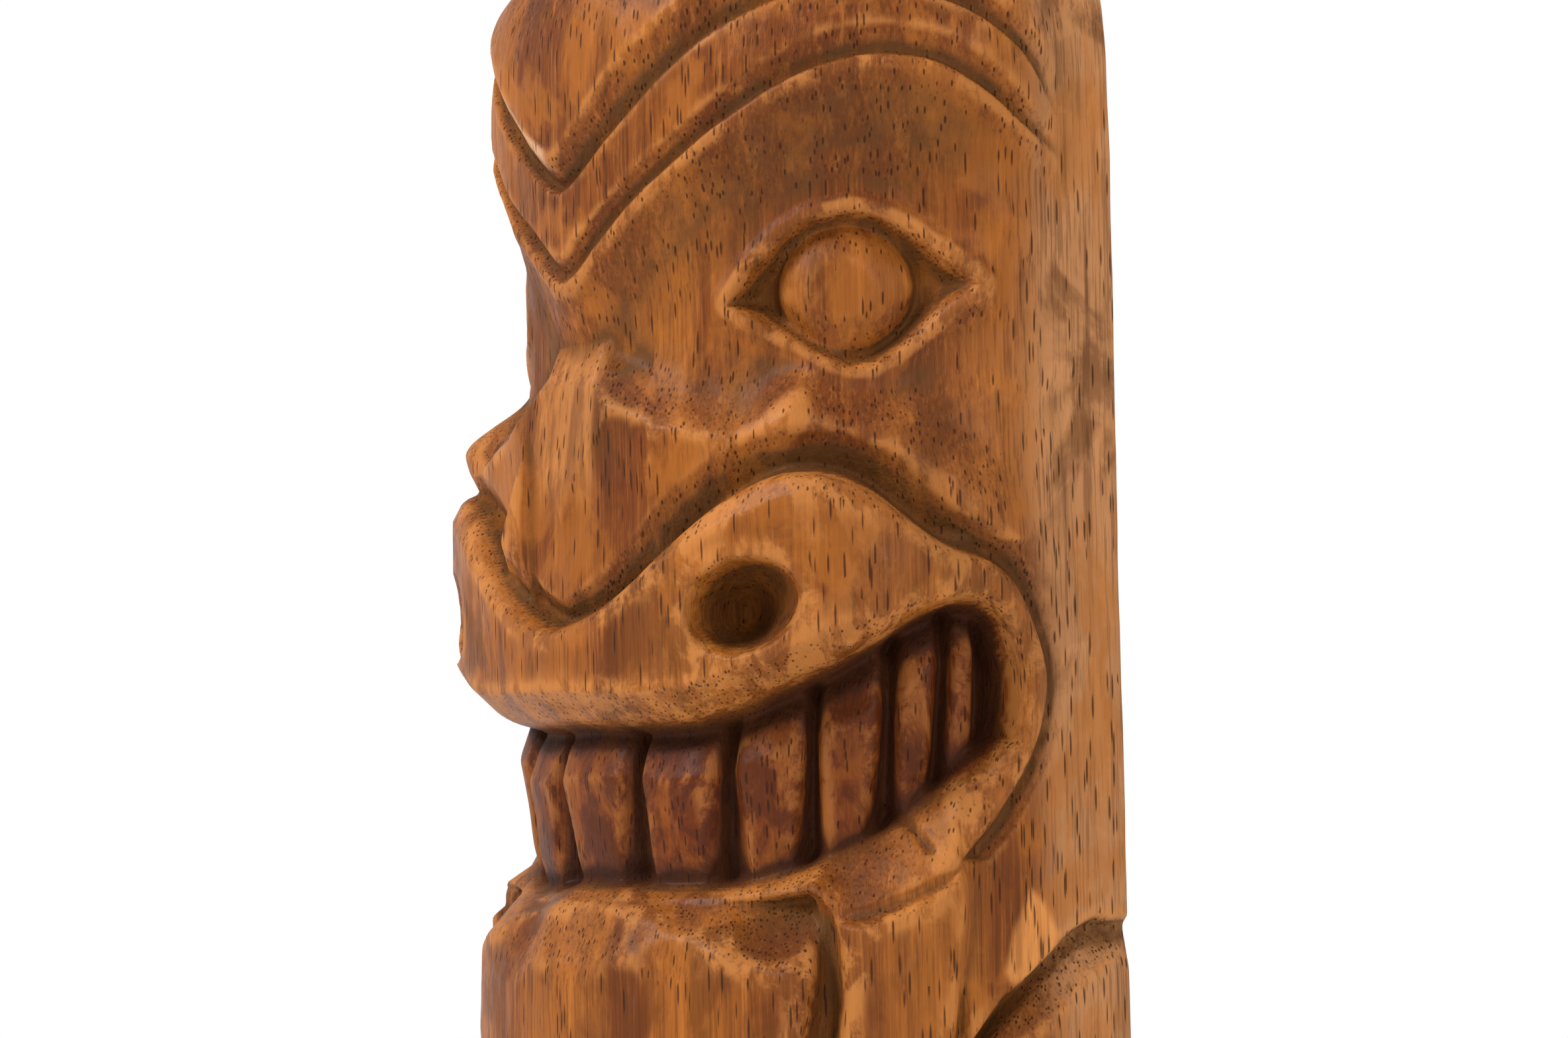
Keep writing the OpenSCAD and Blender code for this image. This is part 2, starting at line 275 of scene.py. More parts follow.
def head():
    forehead = soft_min(reach(34.2, 37.2), BLOCK, 2)
    brow = soft_min(reach(33.2, 36.2), BLOCK - 0.3, 1.5)
    cheek = mix(reach(30.1, 31.4), PLAIN, smooth(58, 84, PX))
    above_inner = PZ - at(INNER_BROW + [(180, 212)], PX)
    outer_d, inner_d = to_line(OUTER_BROW), to_line(INNER_BROW)
    fade = 1 - smooth(82, 90, PX)

    # Below the outer groove the socket falls away in a long curve.
    drop = at([(0, 0), (1.6, 0.3), (4, 1.3), (8, 2.5), (13, 3.4), (30, 4)], np.maximum(BELOW_BROW, 0))
    socket = soft_max(brow - drop * fade, cheek, 0.7)
    r = np.where(BELOW_BROW > 0, socket, np.where(above_inner > 0, forehead, brow))

    # Each groove has a steep lower wall and a long, overhanging upper one.
    inner_w = at([(0, 2.2), (15, 3.2), (40, 3.0), (80, 1.6)], PX)
    outer_w = at([(0, 1.4), (30, 1.7), (50, 2.4), (70, 2.2), (85, 1.2)], PX)
    step = (forehead - brow) * fade
    steep_w = 0.75
    r -= np.where(above_inner > 0, (step + 1.4 * fade) * ramp(inner_d, inner_w),
                  1.4 * fade * ramp(inner_d, steep_w))
    r -= 1.5 * fade * np.where(BELOW_BROW > 0, ramp(outer_d, steep_w), ramp(outer_d, outer_w))
    r = mix(r, PLAIN, smooth(78, 92, PX))

    # The hollow under the outer corner of the eye, with the crease below it.
    hollow = np.hypot((PX - 71) / 10, (PZ - 196.5) / 5)
    r -= 0.7 * np.clip(1 - hollow ** 2, 0, 1)
    r -= 0.2 * groove(to_line([(69, 190.6), (76, 191.6), (84, 192), (89, 193.5)]), 2.4, 1.0)

    # The eye: lids with a raised edge, a sunk almond, a ball that fills it and a small pit beside the ball.
    eye = within(EYE)
    lid = np.clip(1 - np.abs(eye + 0.7) / 1.5, 0, 1)
    r += 0.35 * lid - 0.25 * np.clip(1 - np.abs(eye + 3.4) / 2.4, 0, 1)
    inside = r - 3.2 * np.clip(eye / 1.2, 0, 1)
    ball = cheek - 3.1 + 3.5 * np.sqrt(np.clip(1 - BALL ** 2, 0, 1))
    r = np.where(eye > 0, np.maximum(inside, np.minimum(ball, r - 0.1)), r)
    pit_d = np.hypot((PX - 65) * MM_PER_DEG, PZ - 204.4)
    return r - 0.7 * np.clip(1 - pit_d / 0.9, 0, 1)


def nose(r):
    """A lens-shaped front facet, flat sides that fall to the socket, and two wings that end in points."""
    front = np.minimum(facet(0, 199.2, 31.0, 0, 23), facet(0, 195, 32.6, 0, 7))
    front = np.minimum(front, facet(0, 187, 33.7, 0, 1))
    upper_side = np.where(PX < 32, facet(7.5, 195, 32.8, 50, 20), 0)
    # The lens closes to a point above the tip, where the two sides meet.
    lower_side = soft_max(facet(7.3, 190, 33.5, 24, -11), 33.3 + 0 * Z, 0.4)
    lower_side += 0.5 * np.maximum(PX - mix(19, 9, right), 0)

    # The near wing is flatter than the far one and leans back more gently above its rim.
    above = PZ - at(SHELF, PX)
    near_wing = facet(19, 188, 33.6, 27, -3) - 0.75 * np.maximum(above, 0)
    near_most = at([(0, 35), (26, 34.2), (34, 33.5), (42, 32), (50, 29.8), (60, 26)], PX)
    near_wing = soft_min(near_wing, near_most, 1)
    above = PZ - at(FAR_SHELF, PX) - 0.1
    far_wing = facet(0, 176, 33.8, 15, -4.4) - 0.9 * np.maximum(above, 0) - 0.3 * np.maximum(above - 3, 0)
    far_wing = soft_min(far_wing, 36.2 + 0 * Z, 1.5) - 1.6 * smooth(38, 48, PX) - 4 * smooth(46, 58, PX)
    wing = np.where(PX > 62, 0, mix(near_wing, far_wing, right))
    bulk = np.minimum(front, np.minimum(lower_side, np.maximum(upper_side, wing)))
    bulk = np.where((PZ < 199.4) & (PZ > 171) & (PX < 60), bulk, 0)
    return np.where(PX < 17, soft_max(r, bulk, 0.7), soft_max(r, bulk, 1.8))


def mouth(r):
    lip = within([(-20, 173.8)] + LIP_TOP + [(65, 158)] + MOUTH_FLOOR[-8:] + LIP_LOW[::-1] + [(-20, 164.4)])
    top_d, low_d = to_line(LIP_TOP), to_line(LIP_LOW)

    # The cheek swells towards the groove round the lip.
    fold = smooth(11, 3.6, top_d) * smooth(34, 46, PX) * smooth(84, 68, PX) * (PZ > 170)
    r = r + 2.5 * fold
    wall_w = at([(0, 2.2), (12, 3.2), (22, 4.2), (60, 3.8), (72, 2.8), (82, 2.2), (180, 2.2)], PX)
    r -= at([(0, 1.8), (20, 2.0), (60, 2.2), (78, 1.7), (180, 1.5)], PX) * ramp(top_d, wall_w)

    muzzle = soft_min(reach(35.4, 50), BLOCK + 0.5, 2.5)
    bevel_w = at([(0, 1.2), (22, 1.5), (38, 2.6), (50, 2.4), (60, 1.3), (180, 1.1)], PX)
    muzzle -= 1.3 * ramp(top_d, bevel_w)
    facet_w = at([(0, 3.4), (36, 3.3), (52, 2.7), (60, 1.7), (68, 0.9), (180, 0.9)], PX)
    muzzle -= 1.1 * np.maximum(facet_w - low_d, 0)
    r = mix(r, muzzle, smooth(-0.3, 0.6, lip))

    # The nostril is a tilted oval, deepest towards the nose. The right one is further out and shallower.
    tilt = 16 * DEG
    half_w, half_h = 5.3, 4.0
    u, v = (PX - 36.8 - 5.2 * right) * MM_PER_DEG, PZ - 174.8
    u, v = u * math.cos(tilt) + v * math.sin(tilt), v * math.cos(tilt) - u * math.sin(tilt)
    hole = np.hypot(u / half_w, v / half_h)
    depth = (8.2 - 3.6 * np.clip(u / half_w, -1, 1)) * (1 - 0.35 * right)
    r -= depth * np.clip(1 - hole ** 2, 0, 1) ** 0.6
    return r


def teeth_row(r):
    """The hollow behind the lips with a row of rough teeth, and the sloping wall at its corner."""
    opening = within([(-20, 164.4)] + LIP_LOW + MOUTH_FLOOR[::-1] + [(-20, 150.1)])
    gaps = [-73, -65.5, -57, -44.5, -29.5, -11.5, 10.5, 29.5, 44.5, 57, 65.5, 73]
    peaks = [0.0, -0.1, 0.2, 0.0, 0.1, 0.2, 0.15, 0.25, -0.1, 0.1, 0.0]
    tooth = np.zeros(r.shape)
    across = A - 0.10 * np.sign(A) * (PZ - 157)
    for start, end, peak in zip(gaps, gaps[1:], peaks):
        t = (across - (start + end) / 2) / (end - start) * 2
        side = np.where(t < peak, (t + 1) / (peak + 1), (1 - t) / (1 - peak))
        # A gap is a narrow cut near the gum and opens downwards.
        gap_w = mix(0.22, 0.11, smooth(152, 163, PZ)) * (20 / (end - start)) ** 0.65
        tooth = np.maximum(tooth, np.clip(side / (2 * gap_w), 0, 1) ** 0.8 - 0.22 * t * t)
    floor_z, roof_z = at(MOUTH_FLOOR, PX), at(ROOF, PX)
    t = np.clip((PZ - floor_z) / np.maximum(roof_z - floor_z, 1), 0, 1)
    rise = at([(0, -1.5), (0.2, -0.8), (0.45, -0.4), (0.68, 0.1), (0.85, -0.8), (1, -2.2)], t)
    wall = 28.7 + 0.014 * PX + 2.5 * np.clip(tooth, 0, 1) + rise
    wall = mix(wall, 28.6, smooth(71, 73.5, PX))
    edge_w = at([(0, 0.9), (66, 0.9), (74, 1.3), (180, 1.3)], PX)
    return mix(r, wall, smooth(-0.3, 1, opening / edge_w)), opening


def chin(r):
    """The lower lip, the tongue, the jaw beside it and the plain side."""
    floor_z = at(MOUTH_FLOOR + [(180, 162.8)], PX)
    ledge_z = at([(0, 148.7), (38, 148.9), (45, 149.4)] + LOWER_LIP[::-1] +
                 [(70, 153.8), (75, 156.7), (78, 159), (180, 160)], PX)
    inward = np.clip((floor_z - PZ) / np.maximum(floor_z - ledge_z, 0.6), 0, 1)
    rise = at([(0, 1), (50, 0.9), (58, 0.75), (66, 0.45), (74, 0.2), (180, 0.2)], PX)
    lip_edge = at([(0, 32.2), (38, 32.6), (48, 35.6), (60, 36.3), (66, 36.3), (74, 35.8), (180, 35)], PX)
    lower_lip = mix(30.6, lip_edge, np.maximum(inward, 1e-3) ** rise)
    lower_lip -= 0.9 * ramp(1 - inward, 0.2) * (PX > 46)
    r = mix(r, lower_lip, smooth(0.4, -0.5, PZ - floor_z) * smooth(77, 72, PX))

    # A crack in the left of the lower lip.
    r -= 1.0 * ramp(to_line([(57.5, 156.4), (60.5, 155.4), (63, 153)]), 0.5) * (A > 0)

    beside_lip = within(LIP_TOP[-40:] + [(67.5, 130), (180, 130), (180, 175)])
    r = mix(r, PLAIN - 1.5 * ramp(to_line(LIP_TOP), 2.1) * (PZ > 152), smooth(-0.3, 0.5, beside_lip))

    tongue = within([(-20, 156), (44.5, 156)] + TONGUE_EDGE + [(-20, 120.5)])
    jaw = within([(48.6, 158), (67.5, 158)] + JAW_EDGE +
                 [(46.5, 124), (47.2, 132), (49, 140), (48.7, 146), (46.8, 150)])
    front = soft_min(reach(35.4, 39.5), BLOCK + 0.3, 2)
    top = np.minimum(facet(6, 142.6, 35.5, 6, 20), facet(28, 145.2, 36.0, 30, 42))
    top = np.minimum(top, facet(41, 142.6, 36.2, 47, 38))
    top = np.minimum(top, facet(12, 147.2, 34.6, 14, 52))
    top = np.minimum(top, facet(-6, 147, 34.7, -14, 50))
    blade = soft_min(front, top, 0.3) - 0.45 * ramp(tongue, 2.5)
    scallops = ((5, 148.6, 11, 0.8), (24, 149, 10, 0.9), (38.5, 148.8, 6.5, 0.9), (-14, 148.4, 11, 0.8))
    for a, z, wide, deep in scallops:
        blade -= deep * np.clip(1 - ((A - a) / wide) ** 2 - ((PZ - z) / 7.5) ** 2, 0, 1)
    panel = soft_min(reach(34.6, 40.5), BLOCK - 0.3, 2) - 0.9 * ramp(jaw, 1.4)
    under = soft_min(reach(32.6, 34.2), BLOCK - 1.6, 1.2)

    below = ledge_z - PZ
    low = np.where(PX > 67.5, PLAIN, under)
    low = mix(low, panel, smooth(-0.3, 0.6, jaw))
    low = mix(low, blade, smooth(-0.4, 0.6, tongue))
    r = mix(r, low, smooth(-0.3, 0.5, below) * (1 - smooth(67, 68, PX)))
    r = mix(r, low, (PX > 67) * smooth(-0.3, 0.4, jaw))
    return r


def body(r):
    """Chest, arms, hands, belly, legs and feet, on a round base."""
    chest = soft_min(reach(29, 33.5), BLOCK, 1.5)
    limb = soft_min(reach(33, 39), BLOCK, 1.5)
    low = mix(chest, soft_min(BLOCK, limb, 1.5), smooth(70, 92, PX) * smooth(66, 60, PZ))
    belly = 3.9 * np.sqrt(np.clip(1 - (np.hypot(PX * MM_PER_DEG / 21, (PZ - 92) / 25)) ** 2, 0, 1))
    low = low + belly
    arm = within([(50, 122), (52, 124)] + SHOULDER[1:] +
                 [(130, 148), (130, 80), (90, 76), (72, 73), (60, 75), (33, 79), (31, 97), (50, 99),
                  (58, 104), (54, 116)])
    arm_r = limb + 0.9 * smooth(0, 5, arm) - 0.9
    low = mix(low, arm_r, smooth(-0.6, 1.2, arm))
    fold = to_line([(34, 98), (52, 101.5), (60, 106)])
    low -= groove(fold, 2.4, 1.2)
    elbow = to_line([(62, 77), (74, 82), (80, 90)])
    low += 0.7 * np.exp(-(elbow / 4) ** 2)
    for i in range(4):
        bottom, tip = 80.5 + 4.6 * i, 9 + 1.2 * abs(i - 1.5)
        top = bottom + 4.3
        finger = within([(tip, bottom), (36, bottom), (36, top), (tip, top)])
        pad = soft_min(reach(34.0, 39), BLOCK, 1.5) - 0.8 + 0.9 * np.sqrt(np.clip(finger / 2.1, 0, 1))
        low = mix(low, pad, smooth(-0.35, 0.5, finger))
    wrist = to_line([(37, 80), (38.5, 98)])
    low -= groove(wrist, 1.8, 0.7)
    navel = np.hypot(PX * MM_PER_DEG, PZ - 106)
    low -= 1.4 * np.exp(-(navel / 2.2) ** 2)

    thigh = within([(130, 70), (84, 68.5), (58, 69), (30, 66), (17, 60), (16, 52), (24, 45.5), (60, 44),
                    (130, 40)])
    low = mix(low, limb + 1.1 * smooth(0, 7, thigh) - 1.0, smooth(-0.7, 1.6, thigh))
    shin = within([(19, 57), (60, 57), (55, 15), (25, 14)])
    low = mix(low, limb - 1.6 + 0.9 * smooth(0, 5, shin), smooth(-0.7, 1.4, shin))
    knee = np.hypot((PX - 33) * MM_PER_DEG / 11, (PZ - 57) / 8)
    low += 1.3 * np.sqrt(np.clip(1 - knee ** 2, 0, 1))
    low -= groove(to_line([(24, 47), (40, 44.5), (58, 46), (72, 44)]), 2.2, 1.1)
    foot = within([(6, 5.5), (74, 5), (70, 15), (58, 18), (30, 20.5), (12, 17), (6, 11)])
    low = mix(low, limb + 1.1 - 1.6 * smooth(8, 20, PZ), smooth(-0.6, 1.2, foot))
    for a in (13, 20, 27, 34):
        low -= groove(to_line([(a, 6), (a + 1.5, 14.5)]), 1.3, 0.9) * (foot > 0)
    base = smooth(7.4, 6.6, PZ)
    low = mix(low, soft_min(reach(34.5, 43), BLOCK, 1.5), base)
    low -= groove(np.abs(PZ - 7.2), 1.4, 1.0)

    chin_line = at([(0, 120.5), (20, 121.5), (34, 124), (50, 123), (61, 128), (66, 134), (74, 139.5),
                    (90, 146), (180, 148)], PX)
    return mix(r, low, smooth(0.5, -0.5, PZ - chin_line))


r = head()
r = nose(r)
r = mouth(r)
r, opening_sd = teeth_row(r)
r = chin(r)
r = body(r)

# The notch along the shoulder's top edge.
shoulder_d = to_line(SHOULDER)
below_shoulder = PZ < at(SHOULDER, PX)
r -= 2.0 * np.where(below_shoulder, ramp(shoulder_d, 3.2), ramp(shoulder_d, 0.7))

# Knife and gouge marks, and the slow unevenness of hand work.
slow = Noise(5)
arc = A * MM_PER_DEG
r += 0.25 * slow(arc / 13, Z / 21, 0 * A) + 0.1 * slow(arc / 5, Z / 8, 0 * A + 9)
cut, cut_tint = scoops(arc / 5.2 + 0.35 * slow(arc / 9, Z / 9, 0 * A + 2), Z / 7.5, 3)
fine_cut, _ = scoops(arc / 2.6, Z / 3.6 + 0.2 * slow(arc / 7, Z / 7, 0 * A + 6), 8)
calm = 1 - 0.2 * smooth(-1.5, 0.5, opening_sd)
calm *= 1 - 0.6 * smooth(86, 96, SIDE)
r += (0.26 * (cut - 0.3) + 0.08 * (fine_cut - 0.3)) * calm

# Where a wall is steep, a little smoothing keeps its foot and its rim from following the grid.
steep = smooth(0.12, 0.5, np.abs(r - blur(r, 2, 2)))
r = mix(r, blur(r, 1, 1, 1), steep)

# The block's faces: the rounded sides, the flat back and the domed head.
BACK = BACK_D / np.maximum(-np.cos(A * DEG), 1e-6)
BACK = np.where(np.cos(A * DEG) < -1e-6, BACK, 1e6)
saw = 0.06 * slow(A * 0.9, Z / 0.8, 0 * A + 4) + 0.05 * slow(A / 3, Z / 30, 0 * A + 7)
phi = np.clip((Z - DOME_Z) / DOME_R, 0, None)
base_r = soft_min(reach(34.2, 37.2), BLOCK, 2)
relief = (r - base_r) * smooth(104, 97, SIDE)
ray = soft_min(base_r / np.maximum(np.cos(phi), 1e-3), DOME_R + 0 * Z, 3.0)
fade_top = smooth(DOME_Z + DOME_R * 1.52, DOME_Z + DOME_R * 1.2, Z)
ray = np.where(phi > 0, ray, base_r) + relief * fade_top
radius = ray * np.cos(phi)
radius = soft_min(radius, BACK + saw, 1.6)
height = np.where(phi > 0, DOME_Z + ray * np.sin(phi), Z)

x = radius * np.sin(A * DEG)
y = -radius * np.cos(A * DEG) + AXIS_Y
z = height + FOOT_Z

# What the material needs to know: hollows, where grime and painted shade go, worn edges, the teeth, bare
# wood and a painted highlight on the nose's front, a painted reflection along the far brow, and painted
# light on the paler side.
# The material paints the hollows darker, as grime together with painted shade.
sharp = ray - blur(ray, 3, 3)
broad = ray - blur(ray, 11, 11)
cavity = np.clip(-sharp / 0.35, 0, 1) * 0.6 + np.clip(-broad / 1.3, 0, 1) * 0.6
on_ball = smooth(1, 0.85, BALL)
cavity *= 1 - 0.95 * on_ball
# Painted shade darkens the hollow beside the bridge of the nose.
cavity += 0.35 * smooth(7.3, 8.3, PX) * smooth(18, 11, PX) * smooth(186, 190, Z) * smooth(199.5, 197, Z)
# More painted shade darkens the hollow under the brow.
cavity += (0.36 * smooth(0.5, 3, BELOW_BROW) * smooth(17, 6, BELOW_BROW) * smooth(4, 14, PX)
           * smooth(84, 70, PX) * (1 - on_ball))
edge = np.clip(sharp / 0.28, 0, 1) * 0.7 + np.clip((broad - 0.15) / 0.9, 0, 1) * 0.4
# The back is plain sawn wood.
carved = smooth(102, 96, SIDE)
cavity *= carved
edge *= carved
teeth = smooth(-0.4, 0.6, opening_sd)
chip = within(CHIP)
# The nose's front facet is painted lighter as a highlight, through the same mask as the chipped bare wood.
lens = smooth(9, 6.5, PX) * smooth(183, 188, Z) * smooth(200, 197, Z)
bare_and_lit = smooth(-0.5, 0.4, chip) * (A > 0) + 0.5 * lens
# A painted reflection of the lamps lies along the far brow's edge.
brow_reflection = smooth(1.3, 0.6, np.abs(PZ - at(INNER_BROW, PX) - 2.7)) * smooth(-30, -24, A) * smooth(0, -2, A)
# Painted light makes the side and part of the cheek paler.
lit_side = smooth(76, 88, SIDE) + 0.2 * smooth(46, 66, PX) * smooth(214, 190, Z) * smooth(168, 186, Z)


def grid_object(name, x, y, z, attributes):
    """A closed mesh over the grid, with a fan at the foot and one at the crown."""
    n_rows, n_cols = x.shape
    verts = np.stack([x, y, z], -1).reshape(-1, 3)
    bottom = np.array([[0, AXIS_Y, FOOT_Z]])
    top = np.array([[0, AXIS_Y, z[-1].mean() + 0.02]])
    verts = np.concatenate([verts, bottom, top]) * MM
    i = np.arange(n_rows - 1)[:, None] * n_cols
    j = np.arange(n_cols)[None, :]
    k = (j + 1) % n_cols
    quads = np.stack([i + j, i + k, i + n_cols + k, i + n_cols + j], -1).reshape(-1, 4)
    first, last = n_rows * n_cols, n_rows * n_cols + 1
    j = j[0]
    k = (j + 1) % n_cols
    rim = (n_rows - 1) * n_cols
    foot_fan = np.stack([k, j, np.full(n_cols, first)], -1)
    crown_fan = np.stack([rim + j, rim + k, np.full(n_cols, last)], -1)
    mesh = bpy.data.meshes.new(name)
    mesh.from_pydata(verts.tolist(), [], quads.tolist() + foot_fan.tolist() + crown_fan.tolist())
    mesh.polygons.foreach_set("use_smooth", [True] * len(mesh.polygons))
    for key, field in attributes.items():
        layer = mesh.attributes.new(key, "FLOAT", "POINT")
        values = np.concatenate([field.reshape(-1), [0, field[-1].mean()]])
        layer.data.foreach_set("value", values.astype(np.float32))
    mesh.update()
    obj = bpy.data.objects.new(name, mesh)
    bpy.context.collection.objects.link(obj)
    return obj


carving = grid_object("carved_figure", x, y, z, {
    "cavity": cavity, "edge": edge, "teeth": teeth, "bare_and_lit": bare_and_lit, "brow_reflection": brow_reflection, "lit_side": lit_side,
    "cut_tint": cut_tint,
})
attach(carving, "root")
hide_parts("figure")


# ---------------------------------------------------------------- materials
class Nodes:
    """Short calls for building a material."""

    def __init__(self, name):
        self.material = bpy.data.materials.new(name)
        self.material.use_nodes = True
        self.tree = self.material.node_tree
        self.shader = self.tree.nodes["Principled BSDF"]

    def node(self, kind, inputs=(), **settings):
        n = self.tree.nodes.new("ShaderNode" + kind)
        for key, value in settings.items():
            setattr(n, key, value)
        for key, value in dict(inputs).items():
            self.put(n.inputs[key], value)
        return n

    def put(self, socket, value):
        if isinstance(value, bpy.types.NodeSocket):
            self.tree.links.new(value, socket)
        else:
            socket.default_value = value

    def coords(self, scale):
        at_object = self.node("TexCoord").outputs["Object"]
        return self.node("Mapping", {"Vector": at_object, "Scale": scale}).outputs["Vector"]

    def noise(self, scale, detail=2.0, rough=0.5, distort=0.0):
        return self.node("TexNoise", {"Vector": self.coords(scale), "Scale": 1.0, "Detail": detail,
                                      "Roughness": rough, "Distortion": distort}).outputs["Fac"]

    def ramp(self, value, low, high, to_low=0.0, to_high=1.0):
        return self.node("MapRange", {"Value": value, "From Min": low, "From Max": high, "To Min": to_low,
                                      "To Max": to_high}, interpolation_type="SMOOTHSTEP").outputs["Result"]

    def math(self, operation, a, b=0.0, clamp=False):
        n = self.node("Math", operation=operation, use_clamp=clamp)
        self.put(n.inputs[0], a)
        self.put(n.inputs[1], b)
        return n.outputs[0]

    def blend(self, a, b, fac):
        n = self.node("Mix", data_type="RGBA")
        self.put(n.inputs["Factor"], fac)
        for key, value in (("A", a), ("B", b)):
            socket = [s for s in n.inputs if s.name == key and s.type == "RGBA"][0]
            self.put(socket, value)
        return [s for s in n.outputs if s.type == "RGBA"][0]

    def attribute(self, name):
        return self.node("Attribute", attribute_name=name).outputs["Fac"]

    def bump(self, height, strength, distance, normal=None):
        inputs = {"Height": height, "Strength": strength, "Distance": distance}
        if normal is not None:
            inputs["Normal"] = normal
        return self.node("Bump", inputs).outputs["Normal"]


def srgb(r, g, b):
    """A colour from screen values of 0 to 255."""
    def linear(c):
        c /= 255
        return c / 12.92 if c < 0.04045 else ((c + 0.055) / 1.055) ** 2.4
    return (linear(r), linear(g), linear(b), 1)


def pores(m, scale, rarity, slit_edge=0.32):
    """Short dark slits where the wood's vessels are cut open."""
    cells = m.node("TexVoronoi", {"Vector": m.coords(scale), "Scale": 1.0, "Randomness": 1.0}, feature="F1")
    slit = m.ramp(cells.outputs["Distance"], 0.16, slit_edge, 1, 0)
    picked = m.node("SeparateColor", {"Color": cells.outputs["Color"]}).outputs["Red"]
    return m.math("MULTIPLY", slit, m.math("GREATER_THAN", picked, rarity))


def carved_wood():
    """Brown, open-pored wood under an old satin varnish. Its grain runs upwards.
    Object coordinates are in metres, so a scale of 1000 is about one feature a millimetre."""
    m = Nodes("varnished_hardwood")
    dark_wood, light_wood, lit_side_colour = srgb(95, 46, 12), srgb(130, 73, 23), srgb(172, 122, 80)
    dark_streak, light_streak = srgb(58, 27, 5), srgb(154, 92, 36)
    dark_fibre, light_fibre = srgb(60, 28, 8), srgb(160, 99, 44)
    dark_stain, light_stain = srgb(72, 35, 8), srgb(146, 84, 26)
    rubbed, grime_and_shade = srgb(172, 110, 54), srgb(76, 46, 18)
    tooth_red, tooth_black, tooth_gap_shade = srgb(78, 27, 3), srgb(46, 20, 6), srgb(32, 14, 5)
    bare_and_lit_wood, brow_reflection_colour = srgb(190, 124, 64), srgb(178, 136, 100)
    pore_dark, pinhole_dark, cut_dark = srgb(40, 18, 6), srgb(48, 24, 9), srgb(60, 28, 8)

    cavity_in, edge_in = m.attribute("cavity"), m.attribute("edge")
    teeth_in, bare_and_lit_in, tint_in = m.attribute("teeth"), m.attribute("bare_and_lit"), m.attribute("cut_tint")
    lit_side_in = m.attribute("lit_side")
    bands = m.noise((100, 100, 10), 3, 0.55, 0.4)
    streaks = m.noise((800, 800, 30), 6, 0.7)
    fibres = m.noise((3400, 3400, 75), 4, 0.65)
    stain = m.noise((85, 85, 60), 6, 0.6, 0.6)
    worn = m.noise((260, 260, 150), 7, 0.7, 0.4)
    pore_rarity = m.ramp(m.noise((100, 100, 26), 2), 0.35, 0.65, 0.80, 0.35)
    pore = pores(m, (2700, 2700, 230), pore_rarity)
    # End grain shows where the surface tilts up or down: there the pores are round.
    upward = m.node("SeparateXYZ", {"Vector": m.node("TexCoord").outputs["Normal"]}).outputs["Z"]
    end_grain = m.ramp(m.math("ABSOLUTE", upward), 0.15, 0.55)
    pinhole = m.math("MULTIPLY", pores(m, (1900, 1900, 1500), 0.55), end_grain)

    # The wood itself, with painted light making the side paler.
    colour = m.blend(dark_wood, light_wood, m.ramp(bands, 0.38, 0.62))
    colour = m.blend(colour, lit_side_colour, m.ramp(lit_side_in, 0, 1.2, 0, 0.75))
    colour = m.blend(colour, dark_streak, m.ramp(streaks, 0.52, 0.66, 0, 0.5))
    colour = m.blend(colour, light_streak, m.ramp(streaks, 0.46, 0.34, 0, 0.5))
    colour = m.blend(colour, dark_fibre, m.ramp(fibres, 0.52, 0.62, 0, 0.42))
    colour = m.blend(colour, light_fibre, m.ramp(fibres, 0.46, 0.36, 0, 0.2))
    colour = m.blend(colour, dark_stain, m.ramp(stain, 0.52, 0.64, 0, 0.6))
    colour = m.blend(colour, light_stain, m.ramp(stain, 0.47, 0.38, 0, 0.5))

    # Rubbed edges, and grime with painted shade in the hollows.
    worn_edge = m.math("MULTIPLY", m.ramp(edge_in, 0.2, 0.9, 0, 0.6), m.ramp(worn, 0.44, 0.56, 0.15, 1))
    colour = m.blend(colour, rubbed, worn_edge)
    dirt_and_shade = m.math("MULTIPLY", m.ramp(cavity_in, 0.10, 0.80, 0, 0.9), m.ramp(worn, 0.62, 0.42, 0.5, 1))
    colour = m.blend(colour, grime_and_shade, dirt_and_shade)

    # The stained teeth, and painted shade in the gaps between them.
    tooth_stain = m.math("MULTIPLY", teeth_in, m.ramp(worn, 0.60, 0.42, 0.45, 0.82))
    colour = m.blend(colour, tooth_red, tooth_stain)
    colour = m.blend(colour, tooth_black, m.math("MULTIPLY", teeth_in, m.ramp(worn, 0.52, 0.42, 0, 0.5)))
    # Painted shade in the gaps between the teeth.
    gap_shade = m.math("MULTIPLY", teeth_in, m.ramp(cavity_in, 0.15, 0.7, 0, 0.75))
    colour = m.blend(colour, tooth_gap_shade, gap_shade)

    # Chipped and bare places, a painted highlight on the nose's front and a painted reflection along the
    # far brow, then the pores over all of it.
    bare_and_lit = m.math("MULTIPLY", bare_and_lit_in, m.ramp(streaks, 0.58, 0.44, 0.45, 0.9))
    colour = m.blend(colour, bare_and_lit_wood, bare_and_lit)
    # A painted reflection along the far brow's edge.
    reflected = m.math("MULTIPLY", m.attribute("brow_reflection"), m.ramp(worn, 0.60, 0.46, 0.35, 0.95))
    colour = m.blend(colour, brow_reflection_colour, reflected)
    colour = m.blend(colour, pore_dark, m.math("MULTIPLY", pore, 0.8))
    colour = m.blend(colour, pinhole_dark, m.math("MULTIPLY", pinhole, 0.65))
    colour = m.blend(colour, cut_dark, m.ramp(tint_in, 0, 1, 0.0, 0.14))
    m.put(m.shader.inputs["Base Color"], colour)

